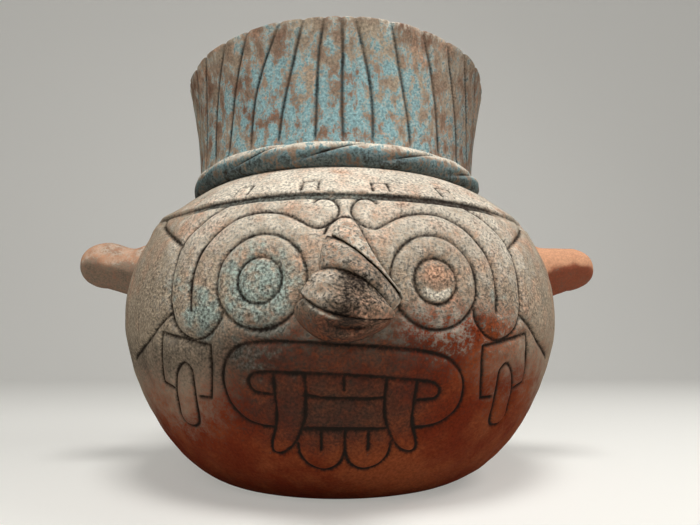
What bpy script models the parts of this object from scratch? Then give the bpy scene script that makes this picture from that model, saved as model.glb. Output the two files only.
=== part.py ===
"""Effigy olla: a hand-built clay jar with a face, in metres, +Z up.

The jar is made as a potter makes it, from pieces that are formed apart and luted together:
a lower bowl, an upper shoulder shell, a flaring pleated neck, a twisted clay cord round the
neck's foot, a lug handle on each side, and a nose of four slanting clay rolls.
The base's centre is the origin. The face looks along -Y and the lugs lie along X.
"""

import math

import bmesh
import bpy

# Jar body: two superellipse arcs that meet at the belly
BELLY_RADIUS = 0.150
BELLY_HEIGHT = 0.108
BASE_RADIUS = 0.077
SHOULDER_RADIUS = 0.104
SHOULDER_RISE = 0.083
LOWER_FULLNESS = 1.63
UPPER_FULLNESS = 2.3
BODY_WALL = 0.009
BODY_SIDES = 60
LOWER_STEPS = 8
UPPER_STEPS = 6

# Neck: a collar that flares above the cord and is scored with upright pleats
NECK_HEIGHT = 0.090
NECK_WALL = 0.0085
NECK_SET_IN = 0.0005
NECK_SHIFT = -0.003
RIM_RADIUS = 0.115
RIM_FLAT = 0.0015
FLARE_CURVE = 1.5
NECK_STEPS = 4
PLEAT_COUNT = 40
PLEAT_WIDTH = 0.0032
PLEAT_DEPTH = 0.0013

# Cord: a clay roll in the corner between shoulder and neck, pressed to look twisted
CORD_HEIGHT = 0.016
CORD_THICKNESS = 0.0075
CORD_LOBES = 13
CORD_LOBE_STEPS = 8
CORD_SECTION_STEPS = 6
CORD_CREASE = 0.0022
CORD_SLANT = 2

# Lugs: a stubby handle on each side, level on top and tapering below
LUG_OUT = 0.047
LUG_BELOW_SHOULDER = 0.0485
LUG_ROOT_TALL = 0.0440
LUG_END_RISE = 0.0055
LUG_END_TALL = {"left_lug": 0.0370, "right_lug": 0.0320}
LUG_DEEP = 0.040
LUG_ROOT_FILLET = 0.0025
LUG_END_ROUNDING = 0.018
LUG_SIDES = 20
LUG_STEPS = 4
LUG_SEAT_RINGS = 5

# Nose: the edges between its rolls, from the top down. Each edge runs from left to right through
# three points, given as (across the face, above the belly), and stands this high off the face.
NOSE_EDGES = (
    ((-0.0045, 0.0475), (0.0075, 0.0320), (0.0240, 0.0000)),
    ((-0.0100, 0.0335), (0.0050, 0.0238), (0.0248, -0.0030)),
    ((-0.0165, 0.0150), (0.0045, 0.0088), (0.0235, -0.0075)),
    ((-0.0225, 0.0030), (-0.0040, -0.0072), (0.0165, -0.0150)),
    ((-0.0165, -0.0140), (-0.0020, -0.0208), (0.0110, -0.0195)),
)
NOSE_EDGE_HEIGHTS = (0.0020, 0.0120, 0.0230, 0.0300, 0.0030)
NOSE_ROLLS = ("nose_bridge_roll", "nose_middle_roll", "nose_lower_roll", "nose_tip")
NOSE_CROWN = 0.0035
NOSE_RIM_HEIGHT = 0.0018
NOSE_END_SWELL = 0.6
NOSE_LONG_STEPS = 12
NOSE_CROSS_STEPS = 6

# Gap that luted pieces keep to each other
LUTE_GAP = 0.0003

# Sizes that follow from the ones above
SHOULDER_HEIGHT = BELLY_HEIGHT + SHOULDER_RISE
RIM_HEIGHT = SHOULDER_HEIGHT + NECK_HEIGHT
RIM_ROUNDING = (NECK_WALL - RIM_FLAT) / 2
LOWER_SPAN = BELLY_RADIUS - BASE_RADIUS
SHOULDER_SHARE = (SHOULDER_RADIUS / BELLY_RADIUS) ** UPPER_FULLNESS
UPPER_SPAN = SHOULDER_RISE / (1 - SHOULDER_SHARE) ** (1 / UPPER_FULLNESS)
NECK_FOOT_RADIUS = SHOULDER_RADIUS - NECK_SET_IN
OPENING_RADIUS = NECK_FOOT_RADIUS - NECK_WALL
CORD_TOP = SHOULDER_HEIGHT + CORD_HEIGHT
LUG_REACH = BELLY_RADIUS + LUG_OUT
LUG_ROOT_HEIGHT = SHOULDER_HEIGHT - LUG_BELOW_SHOULDER

# Colours and roughness of the fired and painted clay
RED_CLAY = (0.30, 0.14, 0.08, 1.0)
WHITENED_CLAY = (0.50, 0.40, 0.31, 1.0)
BLUE_CLAY = (0.24, 0.32, 0.33, 1.0)
ORANGE_CLAY = (0.46, 0.22, 0.12, 1.0)
SOOTED_CLAY = (0.26, 0.20, 0.16, 1.0)
CLAY_ROUGHNESS = 0.88


def clay(name, colour):
    """A matt fired-clay material."""
    material = bpy.data.materials.new(name)
    material.use_nodes = True
    shader = material.node_tree.nodes["Principled BSDF"]
    shader.inputs["Base Color"].default_value = colour
    shader.inputs["Roughness"].default_value = CLAY_ROUGHNESS
    shader.inputs["Metallic"].default_value = 0.0
    return material


def body_radius(height):
    """Outside radius of the jar body at a height, on its lower or its upper superellipse."""
    if height < BELLY_HEIGHT:
        drop = max(0.0, 1 - height / BELLY_HEIGHT)
        return BASE_RADIUS + LOWER_SPAN * (1 - drop**LOWER_FULLNESS) ** (1 / LOWER_FULLNESS)
    rise = min(1.0, (height - BELLY_HEIGHT) / UPPER_SPAN)
    return BELLY_RADIUS * (1 - rise**UPPER_FULLNESS) ** (1 / UPPER_FULLNESS)


def shoulder_surface(radius):
    """Height of the shoulder's outside at a radius, level on the neck's seat."""
    if radius <= SHOULDER_RADIUS:
        return SHOULDER_HEIGHT
    share = min(1.0, radius / BELLY_RADIUS)
    return BELLY_HEIGHT + UPPER_SPAN * (1 - share**UPPER_FULLNESS) ** (1 / UPPER_FULLNESS)


def body_arc(centre_radius, spans, fullness, start, end, steps):
    """Points (radius, height) with outward normals along a superellipse about the belly's height."""
    span_radius, span_height = spans
    power = 2 / fullness
    found = []
    for step in range(steps + 1):
        angle = start + (end - start) * step / steps
        cos, sin = abs(math.cos(angle)), abs(math.sin(angle))
        up = math.copysign(1, angle)
        point = (centre_radius + span_radius * cos**power, BELLY_HEIGHT + up * span_height * sin**power)
        lean = (cos ** (2 - power) / span_radius, up * sin ** (2 - power) / span_height)
        size = math.hypot(*lean)
        found.append((point, (lean[0] / size, lean[1] / size)))
    return found


def inside(surface):
    """The same arc moved inwards by the body's wall."""
    return [(r - BODY_WALL * nr, z - BODY_WALL * nz) for (r, z), (nr, nz) in surface]


def add_object(name, mesh, colour):
    """A mesh as a named object in the scene, with its own clay."""
    mesh.materials.append(clay(f"{name}_clay", colour))
    piece = bpy.data.objects.new(name, mesh)
    bpy.context.scene.collection.objects.link(piece)
    return piece


def turned(name, profile, closed, colour):
    """A solid of revolution about Z from a profile of (radius, height) points."""
    mesh = bpy.data.meshes.new(name)
    edges = [(i, i + 1) for i in range(len(profile) - 1)]
    if closed:
        edges.append((len(profile) - 1, 0))
    mesh.from_pydata([(r, 0.0, z) for r, z in profile], edges, [])
    piece = add_object(name, mesh, colour)
    screw = piece.modifiers.new("turn", "SCREW")
    screw.steps = screw.render_steps = BODY_SIDES
    screw.use_merge_vertices = True
    screw.merge_threshold = 1e-6
    return piece


def skinned(name, rings, looped, colour):
    """A smooth closed solid through rings of points, joined end to end or filled at both ends."""
    bm = bmesh.new()
    loops = [[bm.verts.new(point) for point in ring] for ring in rings]
    pairs = list(zip(loops, loops[1:]))
    if looped:
        pairs.append((loops[-1], loops[0]))
    else:
        bm.faces.new(loops[0])
        bm.faces.new(loops[-1])
    for near, far in pairs:
        for i, point in enumerate(near):
            j = (i + 1) % len(near)
            bm.faces.new((point, near[j], far[j], far[i]))
    bmesh.ops.recalc_face_normals(bm, faces=bm.faces)
    mesh = bpy.data.meshes.new(name)
    bm.to_mesh(mesh)
    bm.free()
    mesh.shade_smooth()
    return add_object(name, mesh, colour)


def base_bowl():
    """The lower half of the jar, with its flat base and floor."""
    spans = (LOWER_SPAN, BELLY_HEIGHT)
    outer = body_arc(BASE_RADIUS, spans, LOWER_FULLNESS, -0.0, -math.pi / 2, LOWER_STEPS)
    outside = [point for point, _ in outer]
    floor_to_seam = list(reversed(inside(outer)))
    profile = [(0.0, BODY_WALL), *floor_to_seam, *outside, (0.0, 0.0)]
    return turned("base_bowl", profile, False, RED_CLAY)


def shoulder_shell():
    """The upper half of the jar, from the belly seam to the level seat under the neck."""
    spans = (BELLY_RADIUS, UPPER_SPAN)
    seat_angle = math.acos(math.sqrt(SHOULDER_SHARE))
    outer = body_arc(0.0, spans, UPPER_FULLNESS, seat_angle, 0.0, UPPER_STEPS)
    outside = [point for point, _ in outer]
    seam_to_seat = list(reversed(inside(outer)))
    outside[-1] = (BELLY_RADIUS, BELLY_HEIGHT + LUTE_GAP)
    seam_to_seat[0] = (BELLY_RADIUS - BODY_WALL, BELLY_HEIGHT + LUTE_GAP)
    profile = [*outside, *seam_to_seat, (OPENING_RADIUS, SHOULDER_HEIGHT)]
    return turned("shoulder_shell", profile, True, WHITENED_CLAY)


def neck_radius(height):
    """Outside radius of the neck: upright beside the cord, then flaring to the rim."""
    share = max(0.0, (height - CORD_TOP) / (RIM_HEIGHT - CORD_TOP))
    return NECK_FOOT_RADIUS + (RIM_RADIUS - NECK_FOOT_RADIUS) * share**FLARE_CURVE


def neck_section():
    """The neck's closed section as (radius, height, share of the pleat's depth)."""
    foot = SHOULDER_HEIGHT + LUTE_GAP
    lip = RIM_HEIGHT - RIM_ROUNDING
    heights = [CORD_TOP + (lip - CORD_TOP) * step / NECK_STEPS for step in range(NECK_STEPS + 1)]
    outer = [(neck_radius(z), z, 1.0 if z > CORD_TOP else 0.0) for z in heights]
    inner = [(r - NECK_WALL, z, 0.0) for r, z, _ in reversed(outer)]
    crest = [
        (RIM_RADIUS - RIM_ROUNDING, RIM_HEIGHT, 0.5),
        (RIM_RADIUS - RIM_ROUNDING - RIM_FLAT, RIM_HEIGHT, 0.0),
    ]
    return [(NECK_FOOT_RADIUS, foot, 0.0), *outer, *crest, *inner, (OPENING_RADIUS, foot, 0.0)]


def pleat_turns():
    """Turns round the neck with each one's share of a pleat's depth: a flank, the bottom, a flank."""
    half = PLEAT_WIDTH / 2 / RIM_RADIUS
    return [
        (2 * math.pi * pleat / PLEAT_COUNT + turn, share)
        for pleat in range(PLEAT_COUNT)
        for turn, share in ((-half, 0.0), (0.0, 1.0), (half, 0.0))
    ]


def neck_collar():
    """The flaring neck, its rounded rim and the pleats scored down its outside."""
    section = neck_section()
    rings = []
    for turn, share in pleat_turns():
        radii = [(radius - PLEAT_DEPTH * scored * share, height) for radius, height, scored in section]
        rings.append([(NECK_SHIFT + r * math.sin(turn), -r * math.cos(turn), z) for r, z in radii])
    return skinned("neck_collar", rings, True, BLUE_CLAY)


def cord_point(turn, section):
    """A point on the cord, at an angle round the neck and an angle round its own half-oval section.

    A crease runs where the two angles keep step, so that it slants across the cord.
    """
    phase = CORD_LOBES * turn - CORD_SLANT * section
    crease = CORD_CREASE * (1 - abs(math.sin(phase / 2))) ** 2
    r = NECK_FOOT_RADIUS + LUTE_GAP + max(0.0, (CORD_THICKNESS - crease) * math.cos(section))
    x, y = NECK_SHIFT + r * math.sin(turn), -r * math.cos(turn)
    seat = shoulder_surface(math.hypot(x, y)) + LUTE_GAP
    return x, y, max(seat, SHOULDER_HEIGHT + CORD_HEIGHT / 2 * (1 + math.sin(section)))


def neck_cord():
    """The twisted clay cord that lies in the corner between shoulder and neck."""
    turns = CORD_LOBES * CORD_LOBE_STEPS
    sections = [math.pi * (j / CORD_SECTION_STEPS - 0.5) for j in range(CORD_SECTION_STEPS + 1)]
    rings = [[cord_point(2 * math.pi * i / turns, section) for section in sections] for i in range(turns)]
    return skinned("neck_cord", rings, True, BLUE_CLAY)


def oval(middle, deep, tall):
    """Points (depth, height) round an upright oval."""
    angles = [2 * math.pi * i / LUG_SIDES for i in range(LUG_SIDES)]
    return [(deep / 2 * math.cos(angle), middle + tall / 2 * math.sin(angle)) for angle in angles]


def lug(name, side):
    """A stubby handle whose root is cut to the jar's curve and whose end is rounded over."""
    rings = []
    for ring in range(1, LUG_SEAT_RINGS + 1):
        share = ring / LUG_SEAT_RINGS
        spread = 2 * LUG_ROOT_FILLET
        seat = oval(LUG_ROOT_HEIGHT, share * (LUG_DEEP + spread), share * (LUG_ROOT_TALL + spread))
        rings.append([(side * (LUTE_GAP + math.sqrt(body_radius(z) ** 2 - y**2)), y, z) for y, z in seat])
    start = body_radius(LUG_ROOT_HEIGHT) + LUTE_GAP
    straight = LUG_REACH - LUG_END_ROUNDING
    for step in range(1, LUG_STEPS + 1):
        share = step / LUG_STEPS
        along = start + (straight - start) * share
        tall = LUG_ROOT_TALL + (LUG_END_TALL[name] - LUG_ROOT_TALL) * share
        section = oval(LUG_ROOT_HEIGHT + LUG_END_RISE * share, LUG_DEEP, tall)
        rings.append([(side * along, y, z) for y, z in section])
    last_bend = math.pi / 2 * LUG_STEPS / (LUG_STEPS + 0.5)
    for step in range(1, LUG_STEPS + 1):
        bend = last_bend * step / LUG_STEPS
        along = straight + LUG_END_ROUNDING * math.sin(bend) / math.sin(last_bend)
        size = math.cos(bend)
        section = oval(LUG_ROOT_HEIGHT + LUG_END_RISE, LUG_DEEP * size, LUG_END_TALL[name] * size)
        rings.append([(side * along, y, z) for y, z in section])
    return skinned(name, rings, False, ORANGE_CLAY)


def nose_edge(edge, share):
    """A point (across, above the belly) on the curve through an edge's three points."""
    start, middle, end = NOSE_EDGES[edge]
    weights = ((1 - share) * (1 - 2 * share), 4 * share * (1 - share), share * (2 * share - 1))
    return tuple(sum(w * p for w, p in zip(weights, points)) for points in zip(start, middle, end))


def nose_point(roll, share, cross, raised):
    """A point of a nose roll: on its seat, or raised to its rounded outside."""
    upper, lower = nose_edge(roll, share), nose_edge(roll + 1, share)
    trim = LUTE_GAP / 2 / math.dist(upper, lower)
    at = trim + (1 - 2 * trim) * cross
    across, above = (a + (b - a) * at for a, b in zip(upper, lower))
    height = BELLY_HEIGHT + above
    radius = body_radius(height) + LUTE_GAP
    if raised:
        stand = NOSE_EDGE_HEIGHTS[roll] * (1 - at) + NOSE_EDGE_HEIGHTS[roll + 1] * at
        crown = NOSE_CROWN * math.sqrt(4 * cross * (1 - cross))
        swell = math.sin(math.pi * share) ** NOSE_END_SWELL if 0 < share < 1 else 0.0
        radius += NOSE_RIM_HEIGHT + (stand + crown) * swell
    turn = across / BELLY_RADIUS
    return radius * math.sin(turn), -radius * math.cos(turn), height


def nose_roll(roll):
    """One slanting clay roll of the nose, seated on the face."""
    crosses = [j / NOSE_CROSS_STEPS for j in range(NOSE_CROSS_STEPS + 1)]
    rings = []
    for i in range(NOSE_LONG_STEPS + 1):
        share = i / NOSE_LONG_STEPS
        front = [nose_point(roll, share, cross, True) for cross in crosses]
        back = [nose_point(roll, share, cross, False) for cross in reversed(crosses)]
        rings.append(front + back)
    return skinned(NOSE_ROLLS[roll], rings, False, SOOTED_CLAY)


def main():
    """Clears the scene and makes every piece of the jar."""
    for old in list(bpy.data.objects):
        bpy.data.objects.remove(old)
    base_bowl()
    shoulder_shell()
    neck_collar()
    neck_cord()
    lug("left_lug", -1)
    lug("right_lug", 1)
    for roll in range(len(NOSE_ROLLS)):
        nose_roll(roll)


main()
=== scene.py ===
"""Effigy olla, dressed: fired clay skins with an incised face, worn white slip and blue paint.

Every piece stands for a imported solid. The face is cut into the skin of the jar's body as grooves, so
that it shows in the mesh itself. Lengths are metres, unless a docstring says that they are mm.
"""

import logging
import math
from dataclasses import dataclass, replace
from enum import Enum
from typing import ClassVar

import bpy
import numpy as np
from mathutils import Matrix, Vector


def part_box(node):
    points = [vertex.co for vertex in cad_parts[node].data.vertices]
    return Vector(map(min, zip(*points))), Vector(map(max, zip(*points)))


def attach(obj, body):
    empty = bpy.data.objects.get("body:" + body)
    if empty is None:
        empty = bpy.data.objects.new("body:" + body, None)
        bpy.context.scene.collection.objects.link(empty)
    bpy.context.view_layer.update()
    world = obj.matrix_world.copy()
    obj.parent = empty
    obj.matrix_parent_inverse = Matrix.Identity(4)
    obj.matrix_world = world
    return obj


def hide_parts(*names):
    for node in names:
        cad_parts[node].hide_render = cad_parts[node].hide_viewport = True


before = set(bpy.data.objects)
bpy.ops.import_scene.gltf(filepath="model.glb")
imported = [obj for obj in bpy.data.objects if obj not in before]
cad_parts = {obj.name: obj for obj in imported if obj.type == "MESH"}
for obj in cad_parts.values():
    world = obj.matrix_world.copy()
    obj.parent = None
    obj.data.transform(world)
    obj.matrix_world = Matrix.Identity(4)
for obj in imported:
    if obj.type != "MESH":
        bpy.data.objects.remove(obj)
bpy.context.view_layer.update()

Array = np.ndarray
Fields = dict[str, Array | float]
NodeTree = bpy.types.NodeTree
Socket = bpy.types.NodeSocket

MM = 0.001
LOG = logging.getLogger("olla")

LOW, HIGH = 0, 1

# Sockets of the colour mix node, which has sets of them for other kinds of value too.
MIX_SHARE, MIX_UNDER, MIX_OVER, MIX_RESULT = 0, 6, 7, 2


class Tone(Enum):
    """Colours of clay, slip, paint and dirt, and of painted light and shade, as sRGB hex."""

    # Red of the bare lower body, deepened partly as painted shade and painted warm reflected light.
    CLAY_RED = "#6e2a14"
    CLAY_ORANGE = "#874527"
    CLAY_BROWN = "#7a5544"
    CLAY_RUST = "#95553f"
    # Pink of the lugs' tops: painted light from above.
    CLAY_PINK = "#d19c7a"
    CLAY_PEACH = "#cda285"
    CLAY_BUFF = "#aa9a85"
    SLIP_WHITE = "#ddd2c0"
    PAINT_BLUE = "#93b8bc"
    PAINT_GREY = "#a0ada3"
    # Dark of the dirt in the incised lines, and of the shade painted in creases and under overhangs.
    LINE_CHARCOAL = "#28211c"
    # Dark of soot, and of the shade painted with the soot coat.
    SOOT = "#3d342d"
    STUDIO = "#d3d1cb"


class Slot(Enum):
    """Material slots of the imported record."""

    RED = "red_clay"
    WHITENED = "whitened_clay"
    BLUE = "blue_painted_clay"
    ORANGE = "orange_clay"
    SOOTED = "sooted_clay"


class Grain(Enum):
    """Noises that break up a coat's edge: patches with grit in them, patches alone, or clouds."""

    MOTTLE = "mottle"
    BLOTCH = "blotch"
    CLOUD = "cloud"


class Side(Enum):
    """Sides of the jar as the viewer sees them, by the sign of x."""

    LEFT = -1
    RIGHT = 1


def linear(tone: Tone) -> tuple[float, float, float, float]:
    """Turns a tone's sRGB hex into linear RGBA.

    Args:
        tone: the colour.

    Returns:
        Linear red, green, blue and an alpha of 1.
    """
    parts = [int(tone.value[i : i + 2], 16) / 255 for i in (1, 3, 5)]
    red, green, blue = (c / 12.92 if c <= 0.04045 else ((c + 0.055) / 1.055) ** 2.4 for c in parts)
    return red, green, blue, 1.0


def smooth(low: float, high: float, value: Array) -> Array:
    """Eased step: 0 below low, 1 above high, and a cubic in between."""
    share = np.clip((value - low) / (high - low), 0.0, 1.0)
    return share * share * (3 - 2 * share)


def bell(value: Array, centre: float, width: float) -> Array:
    """Bell curve: e to minus the square of the distance from the centre, counted in widths."""
    return np.exp(-(((value - centre) / width) ** 2))


def turned(radius: Array | float, turn: Array, height: Array | float) -> Array:
    """Places by radius, turn and height: the turn is 0 in front, at -y, and grows towards +x."""
    parts = np.broadcast_arrays(radius * np.sin(turn), -radius * np.cos(turn), height)
    return np.stack(parts, axis=-1)


@dataclass(frozen=True)
class Uneven:
    """Unevenness that hands, tools and wear leave: its strength, its typical wavelength and its seed."""

    strength: float
    size: float
    seed: int
    waves: int = 26

    def at(self, points: Array) -> Array:
        """The scaled sum of plane waves of random direction and phase.

        Args:
            points: places, with three numbers on the last axis.

        Returns:
            One number for each place, mostly within the strength both ways.
        """
        rng = np.random.default_rng(self.seed)
        heading = rng.normal(size=(self.waves, 3))
        heading /= np.linalg.norm(heading, axis=1, keepdims=True)
        pitch = 2 * np.pi / (self.size * rng.uniform(0.7, 1.5, (self.waves, 1)))
        phase = rng.uniform(0, 2 * np.pi, self.waves)
        total = np.sin(points @ (heading * pitch).T + phase).sum(axis=-1)
        return self.strength * (total * math.sqrt(0.5 / self.waves))


def through(points: Array, spacing: float) -> Array:
    """Smooth open curve through points: Catmull-Rom spans, sampled evenly.

    Args:
        points: the curve's own points, one a row.
        spacing: distance between samples.

    Returns:
        Samples along the curve, one a row.
    """
    ends = (2 * points[:1] - points[1:2], points, 2 * points[-1:] - points[-2:-1])
    control = np.concatenate(ends)
    before, start, end, after = control[:-3], control[1:-2], control[2:-1], control[3:]
    count = max(2, math.ceil(np.linalg.norm(end - start, axis=1).max() / spacing))
    t = (np.arange(count) / count)[None, :, None]
    before, start, end, after = (p[:, None, :] for p in (before, start, end, after))
    cubic = (3 * start - before - 3 * end + after) * t**3
    square = (2 * before - 5 * start + 4 * end - after) * t**2
    curve = 0.5 * (2 * start + (end - before) * t + square + cubic)
    return np.concatenate((curve.reshape(-1, points.shape[1]), points[-1:]))


def distance_to_path(points: Array, path: Array) -> Array:
    """Distance from each point to a polyline: to the nearest place on any of its segments.

    Args:
        points: places, one a row.
        path: the polyline's corners, one a row.

    Returns:
        One distance for each place.
    """
    start, along = path[:-1], path[1:] - path[:-1]
    length = np.maximum((along**2).sum(axis=1), 1e-14)
    reach = points @ along.T - (start * along).sum(axis=1)
    share = np.clip(reach / length, 0.0, 1.0)
    apart = (points**2).sum(axis=1)[:, None] - 2 * points @ start.T + (start**2).sum(axis=1)
    return np.sqrt(np.maximum(apart - 2 * share * reach + share**2 * length, 0.0).min(axis=1))


def add_object(name: str, data: bpy.types.ID) -> bpy.types.Object:
    """Makes an object of a mesh, lamp or camera and links it into the scene.

    Args:
        name: the object's name.
        data: what it shows.

    Returns:
        The object, at the origin.
    """
    made = bpy.data.objects.new(name, data)
    bpy.context.scene.collection.objects.link(made)
    return made


def skin(
    name: str,
    points: Array,
    fields: Fields,
    looped: bool = False,
    sharp_rows: tuple[int, ...] = (),
) -> bpy.types.Object:
    """Closed mesh over a grid whose columns run round and join up.

    Rows either loop too, or end in a point at the middle of the first and of the last row. The faces
    are turned outwards by the sign of the volume that they enclose.

    Args:
        name: the piece's name.
        points: grid of places, rows by columns by three.
        fields: numbers kept on the vertices for the finish, each one for all or spread over the grid.
        looped: joins the last row to the first.
        sharp_rows: rows along which the shading breaks.

    Returns:
        The piece, at the origin.
    """
    rows, columns = points.shape[:2]
    index = np.arange(rows * columns).reshape(rows, columns)
    lower = np.concatenate((index, index[:1])) if looped else index
    beside = np.roll(lower, -1, axis=1)
    quads = np.stack((lower[:-1], beside[:-1], beside[1:], lower[1:]), axis=-1).reshape(-1, 4)
    caps = np.empty((0, 3), int)
    places = points.reshape(-1, 3)
    grids = {key: np.broadcast_to(field, (rows, columns)) for key, field in fields.items()}
    if not looped:
        first, last = (np.full(columns, index.size + i) for i in range(2))
        near = np.stack((first, beside[0], index[0]), axis=-1)
        far = np.stack((last, index[-1], beside[-1]), axis=-1)
        caps = np.concatenate((near, far))
        places = np.concatenate((places, points[[0, -1]].mean(axis=1)))
        grids = {key: np.append(grid, grid[[0, -1]].mean(axis=1)) for key, grid in grids.items()}
    a, b, c, d = (places[quads[:, i]] for i in range(4))
    volume = (np.cross(b - a, c - a) * a).sum() + (np.cross(c - a, d - a) * a).sum()
    if volume < 0:
        quads, caps = quads[:, ::-1], caps[:, ::-1]
    corners = np.concatenate((quads.ravel(), caps.ravel()))
    sizes = np.repeat((4, 3), (len(quads), len(caps)))
    mesh = bpy.data.meshes.new(name)
    mesh.vertices.add(len(places))
    mesh.vertices.foreach_set("co", places.astype(np.float32).ravel())
    mesh.loops.add(len(corners))
    mesh.loops.foreach_set("vertex_index", corners.astype(np.int32))
    mesh.polygons.add(len(sizes))
    mesh.polygons.foreach_set("loop_start", (np.cumsum(sizes) - sizes).astype(np.int32))
    mesh.update(calc_edges=True)
    mesh.shade_smooth()
    for key, grid in grids.items():
        layer = mesh.attributes.new(key, "FLOAT", "POINT")
        layer.data.foreach_set("value", grid.astype(np.float32).ravel())
    if sharp_rows:
        ends = np.empty(2 * len(mesh.edges), np.int32)
        mesh.edges.foreach_get("vertices", ends)
        row = ends.reshape(-1, 2) // columns
        crease = (row[:, 0] == row[:, 1]) & np.isin(row[:, 0], sharp_rows)
        mesh.attributes.new("sharp_edge", "BOOLEAN", "EDGE").data.foreach_set("value", crease)
    return add_object(name, mesh)


def settle(piece: bpy.types.Object, slot: Slot, finish: bpy.types.Material, *nodes: str) -> None:
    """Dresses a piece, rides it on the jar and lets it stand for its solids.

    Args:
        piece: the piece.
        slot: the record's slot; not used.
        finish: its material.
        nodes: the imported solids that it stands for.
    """
    piece.data.materials.append(finish)
    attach(piece, "root")
    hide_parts(*nodes)
    LOG.info("%s: %d faces for %s", piece.name, len(piece.data.polygons), ", ".join(nodes))


def add_node(
    tree: NodeTree, kind: str, inputs: dict[str | int, object], out: str | int = 0, **settings: object
) -> Socket:
    """Adds a shader node with its settings, values and links.

    Args:
        tree: the node tree.
        kind: the node's type name.
        inputs: for each input, a socket to link from or a value to set.
        out: the output that is wanted.
        settings: the node's own properties.

    Returns:
        That output.
    """
    made = tree.nodes.new(kind)
    for key, value in settings.items():
        setattr(made, key, value)
    for key, value in inputs.items():
        if isinstance(value, Socket):
            tree.links.new(value, made.inputs[key])
        else:
            made.inputs[key].default_value = value
    return made.outputs[out]


@dataclass(frozen=True)
class Coat:
    """A thin layer on the clay: the skin's field that places it, its colour, and how its edge breaks up.

    Ragged is how far the grain pushes the field, and soft is half the width of the coat's edge.
    """

    field: str
    tone: Tone
    grain: Grain
    ragged: float
    soft: float

    def lay(self, tree: NodeTree, grains: dict[Grain, Socket], under: Socket) -> Socket:
        """Lays the coat where its field, pushed up and down by the grain, is over about a half.

        Args:
            tree: the node tree.
            grains: noises about zero.
            under: the colour below.

        Returns:
            The colour with the coat on it.
        """
        much = add_node(tree, "ShaderNodeAttribute", {}, "Fac", attribute_name=self.field)
        pushed = {0: grains[self.grain], 1: self.ragged, 2: much}
        raised = add_node(tree, "ShaderNodeMath", pushed, operation="MULTIPLY_ADD")
        edge = {"Value": raised, "From Min": 0.5 - self.soft, "From Max": 0.5 + self.soft}
        share = add_node(tree, "ShaderNodeMapRange", edge, interpolation_type="SMOOTHSTEP")
        layers = {MIX_SHARE: share, MIX_UNDER: under, MIX_OVER: linear(self.tone)}
        return add_node(tree, "ShaderNodeMix", layers, MIX_RESULT, data_type="RGBA")


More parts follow.
